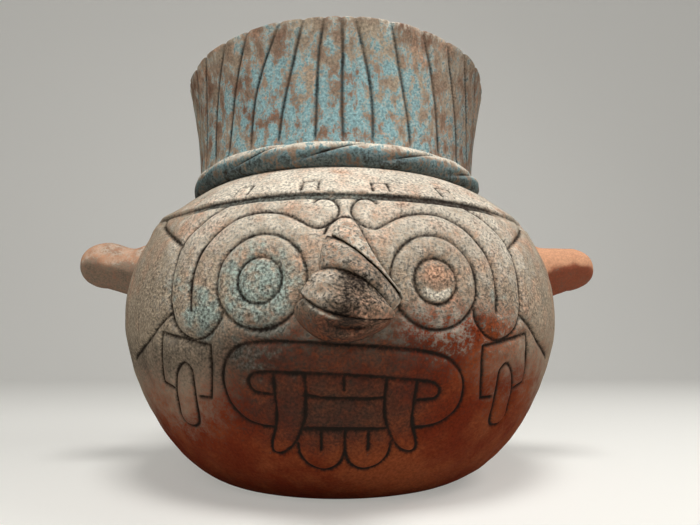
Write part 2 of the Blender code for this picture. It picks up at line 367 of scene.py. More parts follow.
@dataclass(frozen=True)
class FiredClay:
    """Unglazed fired terracotta: matt, gritty, and stained unevenly by the fire.

    Worn slip and paint lie on it in patches, dirt fills the incised lines, and chalky dust clings
    beside them. The line and soot coats also carry painted shade, in creases, under overhangs and where
    parts face away from the light, and the blush paints light on the lugs' tops. The skins carry fields,
    mostly from 0 to 1, that say how much of each there is. A crisp finish has more ragged coats, a
    sooty one has ragged soot, and a streak below 1 draws the patches out upwards.
    """

    name: str
    body: Tone = Tone.CLAY_RED
    stain: Tone = Tone.CLAY_ORANGE
    paint: Tone = Tone.PAINT_BLUE
    blush: Tone = Tone.CLAY_PEACH
    paint_grain: Grain = Grain.MOTTLE
    crisp: float = 1.0
    sooty: float = 0.5
    streak: float = 1.0
    stain_size: float = 38 * MM
    cloud_size: float = 17 * MM
    patch_size: float = 7 * MM
    # The real grit is under half a millimetre. It is drawn at 1.5 mm, so that it shows in the render.
    grit_size: float = 1.5 * MM
    grit_share: float = 0.9
    noise_roughness: float = 0.62
    stain_range: tuple[float, float] = (0.36, 0.64)
    speck_range: tuple[float, float] = (0.32, 0.68)
    speck_light: tuple[float, float] = (0.58, -0.50)
    bump_height: float = 1.1 * MM
    roughness: float = 0.92
    specular: float = 0.08

    def coats(self) -> list[Coat]:
        """The layers on the clay, from the lowest up.

        Returns:
            The coats, as ragged as the finish is crisp.
        """
        plain = (
            Coat("buff", Tone.CLAY_BUFF, Grain.MOTTLE, 0.8, 0.48),
            Coat("slip", Tone.SLIP_WHITE, Grain.MOTTLE, 1.5, 0.30),
            Coat("warm", self.blush, Grain.CLOUD, 2.2, 0.45),
            Coat("paint", self.paint, self.paint_grain, 1.8, 0.24),
            Coat("dust", Tone.SLIP_WHITE, Grain.MOTTLE, 1.2, 0.25),
            Coat("soot", Tone.SOOT, Grain.MOTTLE, self.sooty, 0.40),
        )
        return [replace(coat, ragged=coat.ragged * self.crisp) for coat in plain]

    def material(self) -> bpy.types.Material:
        """Builds the finish: stained clay, its coats, specks of grit, and the dirt and painted shade in the
        lines and creases.

        Returns:
            The material.
        """
        made = bpy.data.materials.new(self.name)
        made.use_nodes = True
        tree = made.node_tree
        shader = tree.nodes["Principled BSDF"]
        place = add_node(tree, "ShaderNodeTexCoord", {}, "Object")
        streaked = {"Vector": place, "Scale": (1.0, 1.0, self.streak)}
        stretched = add_node(tree, "ShaderNodeMapping", streaked)
        noises = []
        for vector, size, detail in (
            (place, self.stain_size, 5.0),
            (place, self.cloud_size, 6.0),
            (stretched, self.patch_size, 7.0),
            (place, self.grit_size, 2.0),
        ):
            look = {"Vector": vector, "Scale": 1 / size, "Detail": detail, "Roughness": self.noise_roughness}
            noises.append(add_node(tree, "ShaderNodeTexNoise", look))
        stain, cloud, patch, grit = noises
        fine = {0: grit, 1: self.grit_share, 2: patch}
        mixed = add_node(tree, "ShaderNodeMath", fine, operation="MULTIPLY_ADD")
        grains = {}
        for grain, noise, middle in (
            (Grain.MOTTLE, mixed, 0.5 + 0.5 * self.grit_share),
            (Grain.BLOTCH, patch, 0.5),
            (Grain.CLOUD, cloud, 0.5),
        ):
            grains[grain] = add_node(tree, "ShaderNodeMath", {0: noise, 1: middle}, operation="SUBTRACT")
        low, high = self.stain_range
        edge = {"Value": stain, "From Min": low, "From Max": high}
        stained = add_node(tree, "ShaderNodeMapRange", edge, interpolation_type="SMOOTHSTEP")
        clays = {MIX_SHARE: stained, MIX_UNDER: linear(self.body), MIX_OVER: linear(self.stain)}
        colour = add_node(tree, "ShaderNodeMix", clays, MIX_RESULT, data_type="RGBA")
        for coat in self.coats():
            colour = coat.lay(tree, grains, colour)
        rough = add_node(tree, "ShaderNodeAttribute", {}, "Fac", attribute_name="rough")
        (low, high), (light, dark) = self.speck_range, self.speck_light
        span = {"Value": grit, "From Min": low, "From Max": high, "To Min": light, "To Max": dark}
        speck = add_node(tree, "ShaderNodeMapRange", span)
        value = add_node(tree, "ShaderNodeMath", {0: speck, 1: rough, 2: 1.0}, operation="MULTIPLY_ADD")
        colour = add_node(tree, "ShaderNodeHueSaturation", {"Color": colour, "Value": value})
        # The line coat lays dirt in the incised lines and shade painted into creases and under overhangs.
        dirt = Coat("line", Tone.LINE_CHARCOAL, Grain.MOTTLE, 0.65, 0.42)
        bump = {"Height": grains[Grain.MOTTLE], "Distance": self.bump_height, "Strength": rough}
        tree.links.new(dirt.lay(tree, grains, colour), shader.inputs["Base Color"])
        tree.links.new(add_node(tree, "ShaderNodeBump", bump), shader.inputs["Normal"])
        shader.inputs["Roughness"].default_value = self.roughness
        shader.inputs["Specular IOR Level"].default_value = self.specular
        return made


@dataclass(frozen=True)
class JarForm:
    """Outside form of the jar's body: a lower and an upper superellipse that meet at the belly."""

    belly_radius: float
    belly_height: float
    shoulder_height: float
    base_radius: float = 77 * MM
    shoulder_radius: float = 104 * MM
    lower_fullness: float = 1.63
    upper_fullness: float = 2.3
    wall: float = 9 * MM
    foot_top: float = 16 * MM
    samples: int = 1500

    @property
    def upper_span(self) -> float:
        """Height of the upper superellipse from the belly to where it would close."""
        share = (self.shoulder_radius / self.belly_radius) ** self.upper_fullness
        return (self.shoulder_height - self.belly_height) / (1 - share) ** (1 / self.upper_fullness)

    def radius(self, height: Array) -> Array:
        """Outside radius at each height, from the superellipse on that side of the belly.

        Args:
            height: heights above the base.

        Returns:
            Radii.
        """
        drop = np.clip(1 - height / self.belly_height, 0.0, 1.0)
        rise = np.clip((height - self.belly_height) / self.upper_span, 0.0, 1.0)
        spread = self.belly_radius - self.base_radius
        low = self.base_radius + spread * (1 - drop**self.lower_fullness) ** (1 / self.lower_fullness)
        high = self.belly_radius * (1 - rise**self.upper_fullness) ** (1 / self.upper_fullness)
        return np.where(height < self.belly_height, low, high)

    def shoulder_at(self, radius: Array) -> Array:
        """Height of the shoulder at each radius: the upper superellipse, read the other way.

        Args:
            radius: distances from the axis.

        Returns:
            Heights above the base.
        """
        spread = np.clip(radius, self.shoulder_radius, self.belly_radius) / self.belly_radius
        rise = (1 - spread**self.upper_fullness) ** (1 / self.upper_fullness)
        return self.belly_height + self.upper_span * rise

    def on_face(self, across: Array, height: Array, lift: Array | float = 0.0) -> Array:
        """Places on the body, by the arc across the face at the belly, the height, and a lift outwards."""
        return turned(self.radius(height) + lift, across / self.belly_radius, height)

    def face_mm(self, places: Array) -> tuple[Array, Array]:
        """Mm across the face, at the belly's radius, and mm above the base, for places one a row."""
        across = np.arctan2(places[:, 0], -places[:, 1]) * self.belly_radius
        return across / MM, places[:, 2] / MM

    def profile(self, spacing: float, foot_spacing: float) -> tuple[Array, Array]:
        """Outside profile from the base's edge up to the neck's seat, in even steps of arc length.

        Each superellipse is run through by its own angle or height, and the two are then stepped off:
        coarsely round the foot, and finely from there through the belly to the seat.

        Args:
            spacing: length of a fine step.
            foot_spacing: length of a step round the foot.

        Returns:
            Places (radius, height) and outward normals, one a row.
        """
        bend = np.linspace(np.pi / 2, 0, self.samples)
        power = 2 / self.lower_fullness
        radius = self.base_radius + (self.belly_radius - self.base_radius) * np.cos(bend) ** power
        lower = np.stack((radius, self.belly_height * (1 - np.sin(bend) ** power)), axis=1)
        heights = np.linspace(self.belly_height, self.shoulder_height, self.samples)[1:]
        line = np.concatenate((lower, np.stack((self.radius(heights), heights), axis=1)))
        length = np.concatenate(([0.0], np.cumsum(np.linalg.norm(np.diff(line, axis=0), axis=1))))
        levels = 0.0, self.foot_top, self.belly_height, self.shoulder_height
        stops = np.interp(levels, line[:, 1], length)
        steps = [stops[:1]]
        for start, end, step in zip(stops, stops[1:], (foot_spacing, spacing, spacing)):
            steps.append(np.linspace(start, end, math.ceil((end - start) / step) + 1)[1:])
        at = np.concatenate(steps)
        columns = np.concatenate((line, np.gradient(line, length, axis=0)), axis=1).T
        radius, height, run, rise = (np.interp(at, length, column) for column in columns)
        normal = np.stack((rise, -run), axis=1)
        return np.stack((radius, height), axis=1), normal / np.linalg.norm(normal, axis=1, keepdims=True)


@dataclass(frozen=True)
class Patch:
    """A soft oval area of the face, in mm: its middle, how far it reaches, and how much it counts."""

    across: float
    height: float
    wide: float
    tall: float
    much: float = 1.0

    def share(self, across: Array, height: Array) -> Array:
        """How much of it each place has: a bell curve both ways."""
        return self.much * bell(across, self.across, self.wide) * bell(height, self.height, self.tall)


@dataclass(frozen=True)
class Incised:
    """One line cut into the leather-hard clay, by its points in mm across the face and above the base."""

    points: tuple[tuple[float, float], ...]
    half_width: float = 1.25
    depth: float = 1.5
    dirt: float = 0.93


@dataclass(frozen=True)
class FaceDesign:
    """The incised face: ringed eyes, scrolled brows, ear plaques and a fanged mouth.

    Sizes are mm, across the face at the belly's radius and above the base; only wavelengths are not.
    One half of each part is given, and the other mirrors it. The parts are shifted a little sideways,
    and the mouth leans.
    """

    eye_centre: tuple[float, float] = (45.0, 118.0)
    eye_radii: tuple[float, float] = (24.5, 11.8)
    ring_points: int = 25
    eye_shift: float = 1.1
    brow_shift: float = -0.5
    temple_shift: float = 2.0
    ear_shift: float = 1.5
    mouth_lean: float = -0.058
    lean_heights: tuple[float, float] = (35.0, 80.0)
    mark_centres: tuple[float, ...] = (23.0, 71.5, 119.0)
    mark_width: float = 11.0
    mark_top: float = 177.0
    mark_foot: float = 170.0
    mark_half_width: float = 1.0
    mark_depth: float = 1.1
    groove_floor: float = 164.0
    groove_rise: float = 0.5
    rise_width: float = 30.0
    groove_width: float = 2.6
    groove_wall: float = 0.8
    groove_end: tuple[float, float] = (158.0, 182.0)
    groove_depth: float = 2.2
    groove_shadow: float = 0.78
    raised_corner: Patch = Patch(165.0, 166.0, 28.0, 7.0)
    corner_lift: tuple[float, float] = (3.2, 1.8)
    pillow: float = 4.2
    pillow_depth: float = 0.5
    stick: float = 1.25
    stick_sway: Uneven = Uneven(0.33, 18 * MM, 15)
    stick_limits: tuple[float, float] = (0.8, 1.8)
    path_step: float = 1.0
    dirt_narrowing: float = 1.6
    dirt_heights: tuple[float, float] = (50.0, 105.0)
    low_dirt: float = 1.08
    dirt_loss: float = 0.20
    mean_dirt: float = 0.97
    dirt_sway: Uneven = Uneven(0.08, 25 * MM, 16)

    # A brow has a scroll, and a lower edge that runs on down to the temple.
    brow: tuple[Incised, ...] = (
        Incised((
            (18.2, 161.2), (16.6, 162.8), (12.7, 164), (6.9, 162.6), (3.4, 156.5), (5.3, 150.6),
            (10.8, 146.2),
        ), 1.2, 1.9),
        Incised((
            (5.3, 150.6), (10.8, 146.2), (16.5, 145.2), (24, 149.2), (33.3, 153.5), (44.5, 155.6),
            (54.6, 155.3), (64.5, 152), (73, 146), (78.5, 140), (82.2, 133.5), (84.3, 126), (85.2, 117),
            (84.8, 104),
        ), dirt=0.95),
    )
    # A temple has the brow's outer edge, which loops up below, a notch and a fold.
    temple: tuple[Incised, ...] = (
        Incised((
            (76, 163.5), (85.5, 158.5), (93, 152.5), (99, 146), (102.7, 138.5), (103.4, 129),
            (103.6, 118), (102.6, 107), (99, 97), (93.2, 91.5), (85, 89), (76.5, 91), (70.5, 95.3),
            (67, 100), (66.3, 104.5),
        )),
        Incised(((156, 164.5), (124, 151.5), (110, 145), (101.5, 140.5)), 1.5, 1.6),
        Incised(((102.5, 103), (114.7, 96.8), (130, 88.8), (160, 79)), 1.4),
    )
    # An ear has a pendant, which comes first, and a plaque.
    ear: tuple[Incised, ...] = (
        Incised((
            (92.3, 70.5), (94.3, 61.5), (96.5, 52.7), (99.5, 45.5), (105, 42.8), (111.5, 43.5),
            (115, 48), (113.5, 55), (109.5, 64.5), (104, 73), (97, 77), (92.6, 74), (92.3, 70.5),
        )),
        Incised(((111.5, 93.5), (90, 89), (75, 86)), 1.3),
        Incised(((75, 85.8), (76.5, 77), (78.6, 68), (82, 59))),
        Incised(((82, 59), (90.7, 59.2))),
        Incised(((111.6, 93), (115.8, 83.5), (119, 75), (121.3, 67))),
        Incised(((121.3, 66), (112.3, 63.4))),
    )
    # Half a mouth has an outer and an inner lip, a fang, a tooth with a cleft, and two lines between.
    mouth: tuple[Incised, ...] = (
        Incised((
            (0, 86), (20, 86), (38, 85.5), (53, 83.5), (62, 78.5), (67.5, 70.5), (69, 62), (66.5, 54),
            (59.5, 48), (50, 45.5), (42, 45),
        )),
        Incised(((0, 71.5), (20, 71.2), (44, 70.5), (51, 68.5), (53, 65), (50, 61.3), (40, 60.2))),
        Incised((
            (21.5, 70.6), (21.5, 60), (23, 50), (28, 40.5), (34.5, 34), (42, 31), (46.5, 32.5),
            (45.5, 37), (41.5, 44), (39, 52), (38.5, 62), (38.5, 70.2),
        )),
        Incised(((0, 43.5), (0.3, 32), (4.5, 25), (13.5, 22), (23.5, 24.5), (28.5, 30), (29, 37))),
        Incised(((14, 42.5), (14.8, 33.5))),
        Incised(((0, 60), (12, 60), (21, 61))),
        Incised(((0, 44.5), (24, 44.5)), 1.7),
    )
    # These have no twin: a tick in the mouth, and the nose's edge on the brow and beside it.
    single: tuple[Incised, ...] = (
        Incised(((-1, 71), (-1, 64)), 1.1, 1.2),
        Incised(((-11.5, 141.5), (-9, 147), (-3.5, 150.8), (2.5, 150.8), (6, 148.5)), 1.0, 0.8, 0.95),
        Incised(((6, 148.5), (9.7, 140), (12.6, 132.8), (15.6, 126.5), (19.5, 119.5), (24, 114)), 1.1, 1.4),
    )

    def eye(self) -> list[Incised]:
        """The rings of one eye, circles round its centre.

        Returns:
            Its lines.
        """
        turn = np.linspace(0, 2 * np.pi, self.ring_points)
        x, z = self.eye_centre
        return [Incised(tuple(zip(x + r * np.cos(turn), z + r * np.sin(turn)))) for r in self.eye_radii]

    def marks(self) -> list[Incised]:
        """The marks over the groove on one side, each three sides of a square.

        Returns:
            Their lines.
        """
        found = []
        for centre in self.mark_centres:
            left, right = centre - self.mark_width / 2, centre + self.mark_width / 2
            up = (left, self.mark_foot), (left, self.mark_top)
            down = (right, self.mark_top), (right, self.mark_foot)
            for pair in (up, (up[1], down[0]), down):
                found.append(Incised(pair, self.mark_half_width, self.mark_depth))
        return found

    def lines(self) -> list[tuple[Incised, Array]]:
        """Every line of the face with its points: each half on both sides, shifted and leaned.

        Returns:
            Pairs of a line and its points in metres, one a row.
        """
        found = [(line, np.array(line.points) * MM) for line in self.single]
        for half, shift, lean in (
            (self.eye(), self.eye_shift, 0.0),
            (self.brow, self.brow_shift, 0.0),
            (self.temple, self.temple_shift, 0.0),
            (self.ear, self.ear_shift, 0.0),
            (self.marks(), 0.0, 0.0),
            (self.mouth, 0.0, self.mouth_lean),
        ):
            for line in half:
                for side in Side:
                    points = np.array(line.points) * (side.value, 1) + (shift, 0.0)
                    points[:, 1] += lean * points[:, 0] * smooth(*self.lean_heights, points[:, 1])
                    found.append((line, points * MM))
        return found

    def brow_groove(self, across: Array, height: Array) -> tuple[Array, Array]:
        """The groove under the headband: a steep wall above, a narrow floor and a soft slope below.

        Shade is painted under the steep wall, as a dark line.

        Args:
            across: mm across the face.
            height: mm above the base.

        Returns:
            Depth in mm and the shade painted under the wall, one number for each place.
        """
        over_floor = height - self.groove_floor - self.groove_rise * bell(across, 0, self.rise_width)
        reach = 1 - smooth(*self.groove_end, np.abs(across))
        below = bell(np.minimum(over_floor, 0), 0, 0.7 * self.groove_width)
        above = bell(np.maximum(over_floor, self.groove_width), self.groove_width, self.groove_wall)
        # Painted shadow under the headband's steep wall.
        dirt = bell(over_floor, self.groove_width, self.groove_wall)
        return self.groove_depth * below * above * reach, self.groove_shadow * dirt * reach

    def cut(self, form: JarForm, places: Array) -> tuple[Array, Array, Array]:
        """Works the lines into the skin.

        A groove's floor is a bell curve of the distance to its line, wider and narrower by turns as
        a stick leaves it, and a wider, shallower bell rounds the clay beside it. Where lines cross,
        the deepest counts. The brow's outer corners are raised, and lines low on the face are darker.

        Args:
            form: the jar's body.
            places: places on the smooth skin, one a row.

        Returns:
            Depth in metres, the dirt field, which also holds the shade painted under the headband, and the
            dust field, one number for each place.
        """
        across, height = form.face_mm(places)
        groove, dirt = self.brow_groove(across, height)
        left, right = self.corner_lift
        lift = np.where(across < 0, left, right) * self.raised_corner.share(np.abs(across), height)
        depth, dust = (groove - lift) * MM, np.zeros(len(places))
        width = np.clip(self.stick + self.stick_sway.at(places), *self.stick_limits)
        reach = 3 * self.pillow * MM
        for line, points in self.lines():
            curve = through(points, self.path_step * MM)
            path = form.on_face(curve[:, 0], curve[:, 1])
            near = ((places > path.min(axis=0) - reach) & (places < path.max(axis=0) + reach)).all(axis=1)
            apart = distance_to_path(places[near], path) / MM / width[near]
            core, side = bell(apart, 0, line.half_width), bell(apart, 0, self.pillow)
            cut = (line.depth * core + self.pillow_depth * side) * MM
            raised = np.minimum(depth[near], 0.0)
            depth[near] = np.maximum(depth[near] - raised, cut) + raised
            dirt[near] = np.maximum(dirt[near], core**self.dirt_narrowing * line.dirt)
            dust[near] = np.maximum(dust[near], side - core)
        dirt *= self.low_dirt - self.dirt_loss * smooth(*self.dirt_heights, height)
        dirt *= self.mean_dirt + self.dirt_sway.at(places)
        return depth, dirt, dust


@dataclass(frozen=True)
class BodyWearAndShade:
    """Where slip, paint, dust and soot are left on the jar's body, and where shade is painted with the soot.

    Each coat's field is a sum of areas, and the table gives each area's weight. The areas are soft
    steps and bell curves over mm across the face and mm above the base.
    """

    weights: ClassVar[dict[str, dict[str, float]]] = {
        "line": {"dirt": 1.0},
        "dust": {"all": -0.2, "dust": 0.225, "upper_dust": 0.525},
        "slip": {
            "all": -0.3, "wash": 0.22, "front_wash": 0.36, "right_wash": 0.25, "above_mouth": 0.3,
            "headband": 0.16, "brow": 0.12, "cheek": 0.30, "crescent": 1.1, "right": -0.06,
            "pupil": -0.5, "bare_cheek": -0.3, "groove": -0.4, "back_clouds": -0.10,
        },
        "warm": {"all": -0.5, "upper": 0.72, "pupil": 0.6, "crescent": -0.8, "streaks": 0.20},
        "paint": {"all": -0.25, "paint": 1.3},
        "buff": {
            "all": -0.32, "from_foot": 0.46, "from_mouth": 0.60, "from_eyes": 0.15, "crescent": 0.5,
            "low_left": 0.42, "low_right": 0.12, "mouth": -0.26, "pupil": -0.4, "bare_cheek": -0.26,
            "right_cheek": -0.40,
        },
        # Much of the soot is painted shade: on the painted eyes, over the mouth (less on its right), in the
        # brow groove, on the left cheek, on a band across the left side and on the chin.
        "soot": {
            "all": -0.06, "upper": 0.20, "left": 0.06, "upper_right": 0.16, "streaks": 0.08,
            "paint": 0.13, "mouth": 0.58, "right_mouth": -0.145, "groove": 0.42, "left_cheek_shade": 0.08,
            "left_band_shade": 0.48, "chin_shade": 0.22,
        },
        "rough": {"all": 0.42, "slipped": 0.30, "front_slipped": 0.20, "grainy": 0.50},
    }
    blots: tuple[Patch, ...] = (
        Patch(-45, 114, 34, 34, 0.76),
        Patch(-76, 104, 18, 18, 0.80),
        Patch(-95, 116, 20, 20, 0.50),
        Patch(-48, 88, 30, 30, 0.52),
        Patch(-58, 77, 10, 10, 0.45),
        Patch(84, 112, 11, 11, 0.55),
        Patch(30, 98, 24, 24, 0.38),
    )
    groove_paint: float = 0.75
    pupil: Patch = Patch(46, 122, 10, 6)
    pupil_centre: tuple[float, float] = (46.0, 118.0)
    crescent_radius: float = 8.0
    crescent_width: float = 1.9
    bare_cheek: Patch = Patch(76, 95, 11, 8)
    # Where shade is painted on the chin.
    chin_shade: Patch = Patch(-6, 40, 38, 24)
    drift: Uneven = Uneven(1.0, 85 * MM, 7)
    clouds: Uneven = Uneven(1.0, 40 * MM, 8)
    streaks: Uneven = Uneven(1.0, 13 * MM, 51)
    streak_draw: float = 0.3

    def crescent(self, across: Array, height: Array) -> Array:
        """The pale crescent low in the right pupil: a ring's bell curve, kept where it faces down.

        Args:
            across: mm across the face.
            height: mm above the base.

        Returns:
            Its share, one number for each place.
        """
        x, z = self.pupil_centre
        away = np.hypot(across - x, height - z)
        facing_down = smooth(0.25, 0.7, (z - height) / (away + 1))
        return bell(away, self.crescent_radius, self.crescent_width) * facing_down

    def areas(self, across: Array, height: Array, places: Array, groove: Array) -> Fields:
        """The named areas of the body, apart from the lines' own.

        Args:
            across: mm across the face.
            height: mm above the base.
            places: the places themselves, one a row.
            groove: depth in mm of the groove under the headband.

        Returns:
            Each area's share, one number for each place.
        """
        off = np.abs(across)
        front = 1 - smooth(88, 140, off)
        flank = 1 - smooth(300, 440, off)
        right = smooth(60, 125, across) * flank
        left = smooth(20, 110, -across) * flank
        upper = smooth(70, 125, height)
        wash = smooth(80, 150, height)
        slipped = smooth(70, 105, height)
        drifted = height + (6 + 14 * (1 - front)) * self.drift.at(places)
        low = smooth(0, 70, drifted)
        cheek = bell(height, 94, 13) * front
        mouth = np.exp(-((across / 75) ** 4) - ((height - 66) / 32) ** 4)
        painted_groove = smooth(0.6, 1.6, groove) * front
        blots = [blot.share(across, height) for blot in self.blots]
        temples = smooth(82, 112, off) * (1 - smooth(170, 230, off))
        return {
            "all": 1.0,
            "left": left,
            "right": right,
            "upper": upper,
            "upper_right": smooth(10, 40, across) * flank * upper,
            "low_left": left * low,
            "low_right": right * low,
            "from_foot": smooth(5, 70, drifted),
            "from_mouth": smooth(58, 98, drifted),
            "from_eyes": smooth(98, 125, height),
            "above_mouth": smooth(55, 90, height),
            "wash": wash,
            "front_wash": wash * front,
            "right_wash": wash * right,
            "slipped": slipped,
            "front_slipped": slipped * front,
            "headband": smooth(160, 172, height),
            "groove": painted_groove,
            "brow": front * smooth(132, 150, height) * (1 - 0.5 * smooth(10, 60, across)),
            "pupil": self.pupil.share(across, height),
            "crescent": self.crescent(across, height),
            "paint": np.max((*blots, self.groove_paint * painted_groove), axis=0),
            "cheek": cheek,
            # Painted shade on the left cheek.
            "left_cheek_shade": cheek * (1 - smooth(0, 45, across)),
            "right_cheek": cheek * smooth(0, 50, across),
            "bare_cheek": self.bare_cheek.share(across, height),
            "mouth": mouth,
            # Less painted shade on the right of the mouth.
            "right_mouth": mouth * smooth(20, 65, across),
            # Painted shade on the chin and on a band across the left side.
            "chin_shade": self.chin_shade.share(across, height),
            "left_band_shade": left * bell(height, 78, 16),
            "grainy": bell(height, 112, 22) * (1 - smooth(100, 170, off)),
            "streaks": temples * self.streaks.at(places * (1.0, 1.0, self.streak_draw)),
            "back_clouds": (1 - front) * self.clouds.at(places),
        }

    def fields(self, form: JarForm, design: FaceDesign, places: Array, dirt: Array, dust: Array) -> Fields:
        """Sums the areas into the finish's fields.

        Args:
            form: the jar's body.
            design: its face.
            places: places on the smooth skin, one a row.
            dirt: dirt in the lines.
            dust: dust beside them.

        Returns:
            The fields, one number for each place.
        """
        across, height = form.face_mm(places)
        groove, _ = design.brow_groove(across, height)
        areas = self.areas(across, height, places, groove)
        areas |= {"dirt": dirt, "dust": dust, "upper_dust": dust * areas["upper"]}
        return {
            field: sum(weight * areas[area] for area, weight in parts.items())
            for field, parts in self.weights.items()
        }


@dataclass(frozen=True)
class Body:
    """The jar's body: the bowl and the shoulder, skinned as one form and parted at the belly."""

    form: JarForm
    design: FaceDesign
    wear: BodyWearAndShade
    seat_radius: float = 95 * MM
    foot_rings: tuple[float, ...] = (8 * MM, 30 * MM, 55 * MM)
    floor_rings: tuple[float, ...] = (10 * MM, 45 * MM)
    row_step: float = 0.74 * MM
    foot_step: float = 4 * MM
    inner_step: float = 12 * MM
    fine_turn: float = math.radians(70)
    fine_step: float = 0.75 * MM
    coarse_columns: int = 62
    swell: Uneven = Uneven(0.45 * MM, 75 * MM, 3)
    dimple: Uneven = Uneven(0.22 * MM, 14 * MM, 5)
    fuller_side: float = 2.4 * MM
    even_foot: tuple[float, float] = (2 * MM, 14 * MM)
    even_seat: float = 8 * MM

    def turns(self) -> Array:
        """Angles of the grid's columns: fine across the face and coarse round the back.

        Returns:
            Angles, from one side of the face right round.
        """
        edge = self.fine_turn
        fine = math.ceil(2 * edge * self.form.belly_radius / self.fine_step)
        front = np.linspace(-edge, edge, fine, endpoint=False)
        back = np.linspace(edge, 2 * np.pi - edge, self.coarse_columns, endpoint=False)
        return np.concatenate((front, back))

    def outside(self) -> tuple[Array, dict[str, Array]]:
        """The carved outside: the even profile turned round, pushed in along its normals.

        The right side is a little fuller. Nothing is pushed at the foot or at the neck's seat.

        Returns:
            Places, rows by columns by three, and the fields of the finish.
        """
        profile, normal = self.form.profile(self.row_step, self.foot_step)
        turn = self.turns()
        places = turned(profile[:, :1], turn, profile[:, 1:])
        out = turned(normal[:, :1], turn, normal[:, 1:])
        flat = places.reshape(-1, 3)
        depth, dirt, dust = self.design.cut(self.form, flat)
        uneven = self.swell.at(flat) + self.dimple.at(flat)
        uneven += self.fuller_side * np.clip(flat[:, 0] / self.form.belly_radius, 0, 1) ** 2
        under_seat = self.form.shoulder_height - flat[:, 2]
        free = smooth(*self.even_foot, flat[:, 2]) * smooth(0, self.even_seat, under_seat)
        push = (uneven * free - depth).reshape(places.shape[:2])
        fields = self.wear.fields(self.form, self.design, flat, dirt, dust)
        shaped = {key: field.reshape(places.shape[:2]) for key, field in fields.items()}
        return places + out * push[..., None], shaped

    def inside(self, below: bool) -> Array:
        """The plain inside of one half: the profile moved in by the wall, with few rows.

        Args:
            below: the bowl's inside, else the shoulder's.

        Returns:
            Places, from the belly to the floor or from the seat to the belly, rows by columns by three.
        """
        profile, normal = self.form.profile(self.inner_step, self.inner_step)
        over_belly = profile[:, 1] - self.form.belly_height
        inner = (profile - self.form.wall * normal)[over_belly <= 0 if below else over_belly >= 0]
        if below:
            floor = [(radius, self.form.wall) for radius in self.floor_rings]
            inner = np.concatenate((floor, inner))
        return turned(inner[::-1, :1], self.turns(), inner[::-1, 1:])

    def build(self, finish: bpy.types.Material) -> None:
        """Makes the bowl and the shoulder from the carved outside.

        Args:
            finish: the clay that both wear.
        """
        outside, fields = self.outside()
        heights = self.form.profile(self.row_step, self.foot_step)[0][:, 1]
        belly = int(np.argmin(np.abs(heights - self.form.belly_height)))
        foot = turned(np.array(self.foot_rings)[:, None], self.turns(), 0.0)
        inside = self.inside(below=True)
        bowl = np.concatenate((foot, outside[: belly + 1], inside))
        seam = len(foot) + belly
        lower = {key: field[: belly + 1] for key, field in fields.items()}
        covered = self.padded(lower, len(foot), len(inside))
        piece = skin("bowl_skin", bowl, covered, sharp_rows=(seam, seam + 1))
        settle(piece, Slot.RED, finish, "base_bowl")
        inside = self.inside(below=False)
        seat = turned(self.seat_radius, self.turns(), self.form.shoulder_height)[None]
        shoulder = np.concatenate((outside[belly:], seat, inside))
        upper = {key: field[belly:] for key, field in fields.items()}
        top = len(outside) - belly - 1
        covered = self.padded(upper, 0, len(inside) + 1)
        sharp = (0, top, top + 1, len(shoulder) - 1)
        piece = skin("shoulder_skin", shoulder, covered, looped=True, sharp_rows=sharp)
        settle(piece, Slot.WHITENED, finish, "shoulder_shell")

    @staticmethod
    def padded(fields: dict[str, Array], before: int, after: int) -> dict[str, Array]:
        """The outside's fields with rows of plain brown clay added for the foot and the inside.

        Args:
            fields: the outside's fields.
            before: rows to add before them.
            after: rows to add after them.

        Returns:
            The fields of the whole skin.
        """
        plain = {"buff": 0.4, "rough": 0.3}
        rows = ((before, after), (0, 0))
        return {
            key: np.pad(field, rows, constant_values=plain.get(key, -0.5)) for key, field in fields.items()
        }


